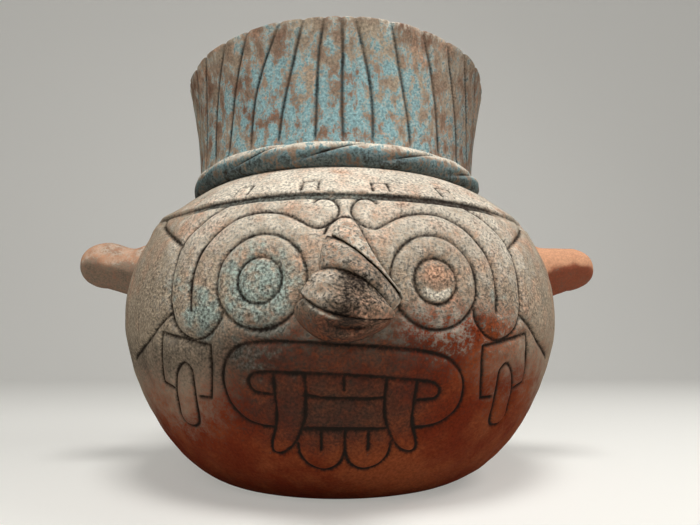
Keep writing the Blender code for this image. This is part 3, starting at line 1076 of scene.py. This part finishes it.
@dataclass(frozen=True)
class Neck:
    """The flaring neck: pleats scored down its outside, and a worn, uneven rim that they notch.

    Turns are angles from the front. Notches and chips start at a share of the height above the cord,
    and pleats start at heights over the cord's top and fade towards the rim.
    """

    foot_height: float
    rim_height: float
    cord_top: float
    shift: float = -3 * MM
    foot_radius: float = 103.5 * MM
    rim_radius: float = 115 * MM
    wall: float = 8.5 * MM
    flare_curve: float = 1.5
    columns: int = 720
    outer_rows: int = 46
    rim_rows: int = 13
    inner_rows: int = 16
    rim_round: float = 1.1 * MM
    rim_dip: float = 3 * MM
    dip_turn: float = math.radians(-47)
    dip_width: float = 0.45
    rim_wave: float = 0.5 * MM
    rim_waves: int = 5
    wave_phase: float = 2.0
    wave_turns: tuple[float, float] = (0.5, 1.0)
    rim_notch: float = 1.3 * MM
    notch_from: float = 0.95
    chip_from: float = 0.93
    chip_turn: float = 0.35
    chip_width: float = 0.3
    pleat_half_width: float = 1.6 * MM
    pleat_depth: float = 1.0 * MM
    pleat_shoulder: float = 0.12
    pleat_curve: float = 1.6
    pleat_sway: float = 0.008
    pleat_start: tuple[float, float] = (-4 * MM, 6 * MM)
    pleat_fade: float = 12 * MM
    pleat_at_rim: float = 0.6
    back_pleats: int = 26
    swell: Uneven = Uneven(0.9 * MM, 60 * MM, 11)
    dimple: Uneven = Uneven(0.25 * MM, 12 * MM, 12)

    def pleats(self) -> Array:
        """Angles of each pleat at the rim and at the foot: listed in front, then even round the back.

        Returns:
            Pairs of angles, one a row.
        """
        left = ((-29.5, -43.5), (-19, -32.5), (-11, -20.5), (-4.5, -8.5), (0, 1.5))
        right = ((5, 11.5), (15.5, 25), (26.5, 39), (38, 50.5), (46.5, 62))
        front = np.array((*left, *right))
        back = np.linspace(front[-1], front[0] + 360, self.back_pleats + 2)[1:-1]
        return np.radians(np.concatenate((front, back)))

    def section(self) -> tuple[Array, Array]:
        """The neck's section, up its outside, over the round rim and down its inside.

        The radius grows from the cord to the rim as a power of the height, and the rim is a squarish
        half round.

        Returns:
            Places (radius, height) and the share of the pleats' depth, one a row.
        """
        heights = np.linspace(self.foot_height, self.rim_height - self.rim_round, self.outer_rows)
        share = np.clip((heights - self.cord_top) / (self.rim_height - self.cord_top), 0, 1)
        radius = self.foot_radius + (self.rim_radius - self.foot_radius) * share**self.flare_curve
        bend = np.linspace(0, np.pi, self.rim_rows + 2)[1:-1]
        inward = self.wall / 2 * (1 - np.sign(np.cos(bend)) * np.sqrt(np.abs(np.cos(bend))))
        crest = np.stack((radius[-1] - inward, heights[-1] + self.rim_round * np.sqrt(np.sin(bend))), axis=1)
        back = np.linspace(0, self.outer_rows - 1, self.inner_rows).astype(int)[::-1]
        inner = np.stack((radius[back] - self.wall, heights[back]), axis=1)
        start, full = (self.cord_top + rise for rise in self.pleat_start)
        scored = smooth(start, full, heights)
        fading = smooth(self.rim_height - self.pleat_fade, self.rim_height, heights)
        scored *= 1 - (1 - self.pleat_at_rim) * fading
        over_rim = self.pleat_at_rim * np.cos(bend / 2) ** 3
        shares = np.concatenate((scored, over_rim, np.zeros(len(back))))
        return np.concatenate((np.stack((radius, heights), axis=1), crest, inner)), shares

    def to_pleat(self, up: Array, turn: Array) -> Array:
        """Arc from each place to the nearest pleat, whose angle goes as a power of the height.

        Args:
            up: share of the height from the cord to the rim, one a row.
            turn: angles of the columns.

        Returns:
            Arcs at the rim's radius, rows by columns.
        """
        lines = self.pleats()
        at = lines[:, 1] + (lines[:, 0] - lines[:, 1]) * up**self.pleat_curve
        at += self.pleat_sway * np.sin(5.0 * up + 2.4 * np.arange(len(lines)))
        apart = (turn[None, :, None] - at[:, None, :] + np.pi) % (2 * np.pi) - np.pi
        return np.abs(apart).min(axis=2) * self.rim_radius

    def build(self, finish: bpy.types.Material) -> None:
        """Turns the section round and scores the pleats, each a bell curve of the arc to its line.

        Args:
            finish: the painted clay.
        """
        section, shares = self.section()
        turn = np.linspace(-np.pi, np.pi, self.columns, endpoint=False)
        up = np.clip((section[:, 1:] - self.cord_top) / (self.rim_height - self.cord_top), 0, 1)
        arc = self.to_pleat(up, turn)
        groove = bell(arc, 0, self.pleat_half_width) * shares[:, None]
        soft = bell(arc, 0, 3 * self.pleat_half_width) * shares[:, None]
        wall = turned(section[:, :1], turn, section[:, 1:])
        uneven = self.swell.at(wall) + self.dimple.at(wall)
        radius = section[:, :1] + uneven * up - self.pleat_depth * (groove + self.pleat_shoulder * soft)
        dip = self.rim_dip * bell(turn, self.dip_turn, self.dip_width)
        wave = 1 + np.sin(self.rim_waves * turn + self.wave_phase)
        dip += self.rim_wave * wave * smooth(*self.wave_turns, np.abs(turn))
        notch = self.rim_notch * groove * smooth(self.notch_from, 1.0, up)
        places = turned(radius, turn, section[:, 1:] - up**2 * dip - notch) + (self.shift, 0, 0)
        outer = (np.arange(len(section)) < self.outer_rows + self.rim_rows // 2)[:, None]
        chipped = smooth(self.chip_from, 1.0, up) * bell(turn, self.chip_turn, self.chip_width)
        bare = 0.4 * up**3 + 0.22 * smooth(0.35, 0.9, np.abs(turn + 0.1))
        fields = {
            "line": 0.75 * groove,
            "dust": 0.2 * soft * (1 - groove),
            "slip": (0.32 + 0.10 * (1 - up) + 0.35 * chipped) * outer,
            "warm": 0.2 * up - 0.22,
            "paint": np.clip(0.55 - bare, 0.1, 1) * outer,
            "buff": 0.40,
            "soot": 0.14 + 0.28 * smooth(0.3, 0.84, np.sin(turn)) - 0.3 * chipped,
            "rough": 0.7,
        }
        piece = skin("neck_skin", places, fields, looped=True)
        settle(piece, Slot.BLUE, finish, "neck_collar")


@dataclass(frozen=True)
class Cord:
    """The clay cord round the neck's foot, pressed at a slant so that it looks twisted."""

    form: JarForm
    bottom: float
    tall: float
    shift: float = -2 * MM
    inner_radius: float = 103.2 * MM
    thickness: float = 5.8 * MM
    lobes: int = 13
    slant: int = 3
    first_crease: float = math.radians(-6.6)
    crease: float = 4.0 * MM
    crease_rise: float = 0.6 * MM
    crease_sharpness: float = 2.2
    crease_start: tuple[float, float] = (-1.3, 0.2)
    swell: float = 0.08
    swell_lag: float = 0.8
    sunk: float = 0.4 * MM
    uneven: Uneven = Uneven(0.35 * MM, 22 * MM, 21)
    columns: int = 13 * 48
    section_rows: int = 26

    def build(self, finish: bpy.types.Material) -> None:
        """A half-oval section carried round the neck, with a crease where both angles keep step.

        Args:
            finish: the painted clay.
        """
        turn = np.linspace(-np.pi, np.pi, self.columns, endpoint=False)[None, :]
        section = np.linspace(-np.pi / 2, np.pi / 2, self.section_rows)[:, None]
        phase = self.lobes * (turn - self.first_crease) - self.slant * section
        sharp = (1 - np.abs(np.sin(phase / 2))) ** self.crease_sharpness
        sharp *= smooth(*self.crease_start, section)
        swell = 1 + self.swell * np.sin(phase + self.swell_lag)
        radius = self.inner_radius + (self.thickness * swell - self.crease * sharp) * np.cos(section)
        heap = self.bottom + self.tall / 2 * (1 + np.sin(section))
        heap = heap - self.crease_rise * sharp * np.sin(section)
        places = turned(radius, turn, heap) + (self.shift, 0, 0)
        seat = self.form.shoulder_at(np.hypot(places[..., 0], places[..., 1]))
        places[..., 2] = np.maximum(seat - self.sunk, heap)
        places[..., :2] *= (1 + self.uneven.at(places) / radius)[..., None]
        # The cord's top is painted paler, with more slip and less paint and soot, as painted light; its
        # underside is darkened with soot and its creases with the line coat, as painted shade.
        top = smooth(0.0, 0.65, np.sin(section))
        fields = {
            "line": 0.9 * smooth(0.45, 0.95, sharp) * np.cos(section),
            "dust": 0.2 * sharp,
            "slip": 0.28 + 0.54 * top,
            "warm": 0.12 * top - 0.3,
            "paint": 0.66 - 0.42 * top,
            "buff": 0.58,
            "soot": 0.50 - 0.38 * top + 0.15 * smooth(-0.2, 0.7, -np.sin(section)),
            "rough": 0.6,
        }
        piece = skin("cord_skin", places, fields, looped=True)
        settle(piece, Slot.BLUE, finish, "neck_cord")


@dataclass(frozen=True)
class Lug:
    """A stubby handle: an oval section carried outwards, flared at its root and rounded at its end.

    Its top and its underside are each given at the root and near the end, and the top has a waist. A
    flat facet is pared off below its front. Grey is how much of the slip's grey it keeps. Its underside
    is darkened as painted shade and its top painted pink as painted light, and the tide is how far the
    edge of that painted shade wanders.
    """

    form: JarForm
    node: str
    side: Side
    reach: float
    root_top: float
    end_top: float
    root_under: float
    end_under: float
    waist: float
    grey: float
    deep: float = 38 * MM
    squareness: float = 2.3
    end_rounding: float = 19 * MM
    end_fullness: float = 2.1
    root_flare: float = 3 * MM
    flare_length: float = 6 * MM
    facet: float = 0.84
    facet_facing: tuple[float, float] = (-0.78, -0.62)
    lumps: Uneven = Uneven(0.025, 28 * MM, 31)
    pits: Uneven = Uneven(0.008, 8 * MM, 33)
    shade_tide: Uneven = Uneven(0.18, 16 * MM, 35)
    sunk: float = 5 * MM
    rows: int = 64
    columns: int = 72

    def build(self, finish: bpy.types.Material) -> None:
        """Carries the oval from inside the wall to the tip, and closes it with a quarter oval.

        Args:
            finish: the clay.
        """
        root = (self.root_top + self.root_under) / 2
        start = float(self.form.radius(np.array(root))) - self.sunk
        along = (start + (self.reach - start) * np.sin(np.linspace(0, np.pi / 2, self.rows)))[:, None]
        share = np.clip((along - start) / (self.reach - self.end_rounding - start), 0, 1)
        over = np.clip((along - self.reach + self.end_rounding) / self.end_rounding, 0, 1)
        closing = np.sqrt(np.maximum(1 - over**self.end_fullness, 1e-5))
        flare = self.root_flare * bell(along, start + self.sunk, self.flare_length)
        dip = self.waist * np.sin(np.pi * share) ** 2
        top = self.root_top + (self.end_top - self.root_top) * smooth(0, 1, share) + flare - dip
        under = self.root_under + (self.end_under - self.root_under) * share - flare
        angle = np.linspace(0, 2 * np.pi, self.columns, endpoint=False)
        round_oval = np.cos(angle), np.sin(angle)
        outward, rise = (np.sign(part) * np.abs(part) ** (2 / self.squareness) for part in round_oval)
        y = (self.deep / 2 + flare - 0.5 * dip) * closing * outward
        z = (top - under) / 2 * closing * rise
        from_core = np.stack((0 * y, y, z), axis=-1)
        core = np.stack(np.broadcast_arrays(self.side.value * along, 0.0, (top + under) / 2), axis=-1)
        smooth_lug = core + from_core
        lumps = replace(self.lumps, seed=self.lumps.seed + self.side.value)
        uneven = lumps.at(smooth_lug) + self.pits.at(smooth_lug)
        pared = self.facet_facing[0] * outward + self.facet_facing[1] * rise
        inset = np.minimum(1, self.facet / np.maximum(pared, 0.1))
        fade = smooth(0, 0.45, share) * (1 - smooth(0.35, 0.85, over))
        places = core + from_core * (1 + (inset - 1) * fade + uneven)[..., None]
        # Painted shade: the underside is darkened with soot and less slip, and the top is painted pink as
        # painted light.
        lower = smooth(-0.28, 0.36, self.shade_tide.at(places) - rise) * (1 - smooth(0, 0.7, outward))
        lower *= 1 - 0.85 * smooth(0.5, 0.97, over)
        fields = {
            "line": 0.0,
            "dust": -0.3,
            "slip": (0.06 + 0.40 * self.grey) * (1 - lower) - 0.3 * lower,
            "warm": 0.95 - 1.3 * lower - 0.42 * self.grey,
            "paint": -0.5,
            "buff": 0.1 + 0.55 * self.grey,
            "soot": 0.06 + (0.14 + 0.16 * self.grey) * lower,
            "rough": 0.25,
        }
        piece = skin(f"{self.node}_skin", places, fields)
        settle(piece, Slot.ORANGE, finish, self.node)


@dataclass(frozen=True)
class Roll:
    """One clay roll of the nose, a round-backed strip between two edges. Its sizes are mm.

    Stand is how far its upper and lower edge stand out from the face, and crown how far its ridge
    stands over them. Flats are planes that cut facets off it: a lift, and its rise along and across
    the roll. Dent and chips are depths. A small taper ends it bluntly, and corners is the share of its
    length that rounds its ends. Whites and soots go by quarters of its length. Shade is painted along
    its upper edge, under the roll above it, and a highlight is painted on a ledge below that edge.
    """

    node: str
    stand: tuple[float, float]
    crown: float
    taper: float
    corners: float
    chips: float
    whites: tuple[float, ...]
    soots: tuple[float, ...]
    flats: tuple[tuple[float, float, float], ...] = ()
    dent: float = 0.0
    overhang_shadow: float = 0.0
    ledge: float = 0.0


@dataclass(frozen=True)
class Nose:
    """The nose: four slanting clay rolls laid under one another, each wider and prouder than the last.

    Each edge between rolls runs through three points, as mm across the face and above the belly. Sunk
    and buried are mm too. The dents, the shade painted in the creases and under the roll above, and the
    highlight painted on the ledge lie by shares of a roll's length and width, and the shade under the
    roll above and the ledge's highlight end by quarters of its length.
    """

    form: JarForm
    edges: tuple[tuple[tuple[float, float], ...], ...] = (
        ((5.0, 42.0), (13.0, 21.8), (27.2, 1.0)),
        ((-11.5, 32.5), (6.5, 21.0), (27.2, -1.0)),
        ((-14.4, 11.6), (3.5, 10.3), (20.5, -7.5)),
        ((-20.0, 1.5), (-2.0, -9.8), (21.0, -9.5)),
        ((-27.0, -6.0), (-6.5, -21.0), (21.5, -12.0)),
    )
    rolls: tuple[Roll, ...] = (
        Roll(
            "nose_bridge_roll", stand=(2.5, 7.0), crown=2.5, taper=0.16, corners=0.17, chips=0.5,
            whites=(0.62, 0.62, 0.58, 0.54, 0.50), soots=(0.16, 0.18, 0.22, 0.26, 0.24),
        ),
        Roll(
            "nose_middle_roll", stand=(4.0, 9.5), crown=5.0, taper=0.28, corners=0.06, chips=1.0,
            whites=(0.54, 0.52, 0.44, 0.42, 0.50), soots=(0.34, 0.32, 0.44, 0.58, 0.26),
            flats=((5.0, 26.0, 8.0),), overhang_shadow=1.2,
        ),
        Roll(
            "nose_lower_roll", stand=(10.0, 18.0), crown=14.0, taper=0.10, corners=0.0, chips=2.2,
            whites=(0.52, 0.48, 0.14, 0.34, 0.20), soots=(0.26, 0.30, 0.82, 0.54, 0.24),
            flats=((13.0, 24.0, 2.0), (10.0, 0.0, 16.0), (31.5, -19.0, 0.0), (38.0, 0.0, -20.0)),
            dent=1.0,
        ),
        # The tip's soot is highest where its dent is: soot with painted shade in that hollow.
        Roll(
            "nose_tip", stand=(19.0, -1.0), crown=6.0, taper=0.35, corners=0.06, chips=1.4,
            whites=(0.40, 0.36, 0.05, 0.05, 0.05), soots=(0.42, 0.58, 1.10, 0.90, 0.40),
            flats=((9.0, 30.0, 0.0), (22.0, -2.0, -15.0)), dent=4.5, ledge=1.0,
        ),
    )
    sunk: float = 1.5
    buried: float = 2.0
    ridge_curve: float = 2.2
    dent_along: float = 0.6
    dent_length: float = 0.25
    dent_across: float = 0.3
    dent_width: float = 0.13
    chips: Uneven = Uneven(1.0, 15 * MM, 41)
    fine_chips: Uneven = Uneven(0.4, 6 * MM, 42)
    unchipped: float = 0.6
    crease_width: float = 0.055
    overhang_shadow_width: float = 0.13
    overhang_shadow_end: tuple[float, float] = (0.6, 1.7)
    ledge_place: float = 0.13
    ledge_width: float = 0.07
    ledge_end: tuple[float, float] = (1.4, 2.4)
    underside: tuple[float, float] = (2 * MM, 17 * MM)
    long_rows: int = 90
    cross_columns: int = 44

    @property
    def cross(self) -> Array:
        """Shares of the way from a roll's upper edge to its lower one, closer together at both."""
        return (1 - np.cos(np.linspace(0, np.pi, self.cross_columns))) / 2

    def edge(self, which: int, share: Array) -> Array:
        """The curve through an edge's three points: a parabola in its share.

        Args:
            which: the edge, from the top down.
            share: places along it, from 0 to 1, rows by columns.

        Returns:
            Places (across, above the belly), with two numbers on the last axis.
        """
        start, middle, end = np.array(self.edges[which]) * MM
        s = share[..., None]
        return start * (1 - s) * (1 - 2 * s) + middle * 4 * s * (1 - s) + end * s * (2 * s - 1)

    def strip(self, which: int, roll: Roll) -> Array:
        """One roll's places: highest along its ridge, pared by its flats, chipped, and sunk at its rim.

        Args:
            which: the roll's place, from the top down.
            roll: its sizes.

        Returns:
            Places, with the front and then the back of each ring, rows by columns by three.
        """
        share = np.linspace(0, 1, self.long_rows)[:, None]
        cross = self.cross
        begin = roll.corners * (1 - np.sqrt(1 - (2 * cross - 1) ** 2))
        run = begin + (1 - 1.4 * begin) * share
        upper, lower = (self.edge(i, run) for i in (which, which + 1))
        flat = upper + (lower - upper) * cross[:, None]
        high, low = roll.stand
        crown = roll.crown * np.sqrt(1 - np.abs(2 * cross - 1) ** self.ridge_curve)
        swell = np.sin(np.pi * share) ** roll.taper
        lift = (high * (1 - cross) + low * cross + crown) * swell
        for base, along, over in roll.flats:
            lift = np.minimum(lift, base + along * share + over * cross)
        pressed = bell(cross, self.dent_across, self.dent_width)
        pressed = pressed * np.exp(-(((share - self.dent_along) / self.dent_length) ** 4))
        lift = lift - roll.dent * pressed - self.sunk * (1 - swell)
        height = self.form.belly_height + flat[..., 1]
        front = self.form.on_face(flat[..., 0], height, lift * MM)
        chip = np.abs(self.chips.at(front)) + np.abs(self.fine_chips.at(front)) - self.unchipped
        front[..., 1] += roll.chips * MM * chip * swell
        back = self.form.on_face(flat[..., 0], height, -self.buried * MM)
        return np.concatenate((front, back[:, ::-1]), axis=1)

    def build(self, finish: bpy.types.Material) -> None:
        """Makes each roll, with soot towards the tip and shade painted in its creases.

        Args:
            finish: the clay.
        """
        cross = self.cross
        quarter = np.linspace(0, 4, self.long_rows)
        # Masks of painted shade in the creases and along the upper edge under the roll above, and of a
        # painted highlight on the tip's ledge.
        crease = bell(np.minimum(cross, 1 - cross), 0, self.crease_width)
        overhang_shadow = bell(cross, 0, self.overhang_shadow_width) * (1 - smooth(*self.overhang_shadow_end, quarter))[:, None]
        ledge = bell(cross, self.ledge_place, self.ledge_width)
        ledge = ledge * (1 - smooth(*self.ledge_end, quarter))[:, None]
        for which, roll in enumerate(self.rolls):
            places = self.strip(which, roll)
            under = smooth(*self.underside, self.form.belly_height - places[..., 2])
            white, soot = (np.interp(quarter, range(5), part)[:, None] for part in (roll.whites, roll.soots))
            # The line coat darkens the creases as painted shade; the ledge is lightened as a painted
            # highlight, with less soot.
            dirt = np.concatenate((np.maximum(crease, roll.overhang_shadow * overhang_shadow), np.ones_like(overhang_shadow)), axis=1)
            painted_highlight = np.concatenate((roll.ledge * ledge, np.zeros_like(ledge)), axis=1)
            fields = {
                "line": 0.75 * dirt,
                "dust": 0.22 * (1 - under) + 0.6 * painted_highlight,
                "slip": white * (1 - under),
                "warm": 0.15 * (1 - under),
                "paint": -0.5,
                "buff": 0.75 - 0.9 * under,
                "soot": soot * (1 - 0.4 * under) - 0.5 * painted_highlight,
                "rough": 1.3 - 0.95 * under,
            }
            piece = skin(f"{roll.node}_skin", places, fields)
            settle(piece, Slot.SOOTED, finish, roll.node)


@dataclass(frozen=True)
class Lamp:
    """A square soft lamp that looks at a point of the jar's axis."""

    name: str
    place: tuple[float, float, float]
    aim_height: float
    size: float
    watts: float

    def hang(self) -> None:
        """Adds the lamp to the scene."""
        light = bpy.data.lights.new(self.name, "AREA")
        light.size = self.size
        light.energy = self.watts
        lamp = add_object(self.name, light)
        lamp.location = self.place
        x, y, z = np.array(self.place) - (0.0, 0.0, self.aim_height)
        lamp.rotation_euler = (math.acos(z / math.hypot(x, y, z)), 0.0, math.atan2(x, -y))


@dataclass(frozen=True)
class Studio:
    """A pale sweep, soft lamps and the camera where the picture was taken from."""

    camera_place: tuple[float, float, float] = (-0.0080, -0.3994, 0.0815)
    camera_heading: float = math.radians(-2.2)
    camera_pitch: float = math.radians(10.0)
    lens: float = 27.0
    sensor: float = 36.0
    floor_half: float = 3.0
    wall_distance: float = 2.2
    wall_height: float = 3.0
    sweep_radius: float = 0.8
    sweep_steps: int = 24
    paper_glow: float = 0.50
    air_glow: float = 0.07
    lamps: tuple[Lamp, ...] = (
        Lamp("top_lamp", (0.05, -0.62, 1.34), 0.15, 0.45, 13.0),
        Lamp("front_fill", (-0.35, -1.4, 0.75), 0.18, 0.8, 5.0),
        Lamp("side_fill", (1.05, -0.30, 1.05), 0.14, 0.6, 7.0),
    )

    def paper(self) -> bpy.types.Material:
        """The sweep's paper: matt and pale, and brightened where the camera sees it.

        Returns:
            The material.
        """
        made = bpy.data.materials.new("studio_paper")
        made.use_nodes = True
        tree = made.node_tree
        shader = tree.nodes["Principled BSDF"]
        shader.inputs["Base Color"].default_value = linear(Tone.STUDIO)
        shader.inputs["Roughness"].default_value = 1.0
        shader.inputs["Emission Color"].default_value = linear(Tone.STUDIO)
        seen = add_node(tree, "ShaderNodeLightPath", {}, "Is Camera Ray")
        glow = add_node(tree, "ShaderNodeMath", {0: seen, 1: self.paper_glow}, operation="MULTIPLY")
        tree.links.new(glow, shader.inputs["Emission Strength"])
        return made

    def sweep(self) -> bpy.types.Object:
        """The floor, which bends up into a wall behind: a profile of lines and a quarter round.

        Returns:
            The sweep.
        """
        bend = np.linspace(0, np.pi / 2, self.sweep_steps)
        curve_y = self.wall_distance - self.sweep_radius * (1 - np.sin(bend))
        curve_z = self.sweep_radius * (1 - np.cos(bend))
        y = np.concatenate(([-self.floor_half], curve_y, [self.wall_distance]))
        z = np.concatenate(([0.0], curve_z, [self.wall_height]))
        sides = [np.stack((np.full_like(y, x), y, z), axis=1) for x in (-self.floor_half, self.floor_half)]
        low = np.arange(len(y) - 1)
        faces = np.stack((low, low + len(y), low + len(y) + 1, low + 1), axis=1)
        mesh = bpy.data.meshes.new("studio_sweep")
        mesh.from_pydata(np.concatenate(sides).tolist(), [], faces.tolist())
        mesh.shade_smooth()
        mesh.materials.append(self.paper())
        return add_object("studio_sweep", mesh)

    def air(self) -> None:
        """Sets the world: a dim, even light, brighter where the camera sees it."""
        world = bpy.data.worlds.new("studio_air")
        world.use_nodes = True
        tree = world.node_tree
        shader = tree.nodes["Background"]
        shader.inputs["Color"].default_value = linear(Tone.STUDIO)
        seen = add_node(tree, "ShaderNodeLightPath", {}, "Is Camera Ray")
        glow = {0: seen, 1: self.paper_glow, 2: self.air_glow}
        strength = add_node(tree, "ShaderNodeMath", glow, operation="MULTIPLY_ADD")
        tree.links.new(strength, shader.inputs["Strength"])
        bpy.context.scene.world = world

    def build(self) -> None:
        """Lays the sweep, hangs the lamps and sets the camera."""
        self.sweep()
        for lamp in self.lamps:
            lamp.hang()
        self.air()
        view = bpy.data.cameras.new("picture_camera")
        view.lens = self.lens
        view.sensor_width = self.sensor
        view.clip_start = 0.01
        camera = add_object("picture_camera", view)
        camera.location = self.camera_place
        camera.rotation_euler = (math.pi / 2 + self.camera_pitch, 0.0, self.camera_heading)
        bpy.context.scene.camera = camera
        bpy.context.scene.view_settings.view_transform = "Standard"


def main() -> None:
    """Builds the jar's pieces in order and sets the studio."""
    logging.basicConfig(level=logging.INFO, format="%(message)s")
    nodes = "base_bowl", "shoulder_shell", "neck_collar", "neck_cord", "left_lug", "right_lug"
    bowl, shoulder, neck, cord, left, right = (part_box(node) for node in nodes)
    shoulder_top, cord_top = shoulder[HIGH].z, cord[HIGH].z
    form = JarForm(bowl[HIGH].x, bowl[HIGH].z, shoulder_top)
    body_clay = FiredClay("slipped_terracotta", paint=Tone.PAINT_GREY, paint_grain=Grain.BLOTCH)
    neck_clay = FiredClay(
        "blue_painted_terracotta", Tone.CLAY_BROWN, Tone.CLAY_BUFF, crisp=1.7, streak=0.6,
        patch_size=6.5 * MM, grit_share=0.4,
    )
    # The blush paints light on the lugs' tops.
    lug_clay = FiredClay("bare_terracotta", Tone.CLAY_RUST, Tone.CLAY_RUST, blush=Tone.CLAY_PINK)
    nose_clay = FiredClay("sooted_terracotta", Tone.CLAY_BROWN, Tone.CLAY_ORANGE, crisp=1.4, sooty=0.95)
    Body(form, FaceDesign(), BodyWearAndShade()).build(body_clay.material())
    painted = neck_clay.material()
    Neck(neck[LOW].z, neck[HIGH].z + 2 * MM, cord_top).build(painted)
    Cord(form, shoulder_top, cord_top - shoulder_top).build(painted)
    bare = lug_clay.material()
    Lug(
        form, "left_lug", Side.LEFT, reach=-left[LOW].x - 2 * MM, root_top=161 * MM, end_top=165 * MM,
        root_under=121.5 * MM, end_under=131 * MM, waist=2.2 * MM, grey=1.0,
    ).build(bare)
    Lug(
        form, "right_lug", Side.RIGHT, reach=right[HIGH].x - 1 * MM, root_top=164 * MM, end_top=163.5 * MM,
        root_under=119 * MM, end_under=131 * MM, waist=0.0, grey=0.0,
    ).build(bare)
    Nose(form).build(nose_clay.material())
    Studio().build()


if __name__ == "__main__":
    main()
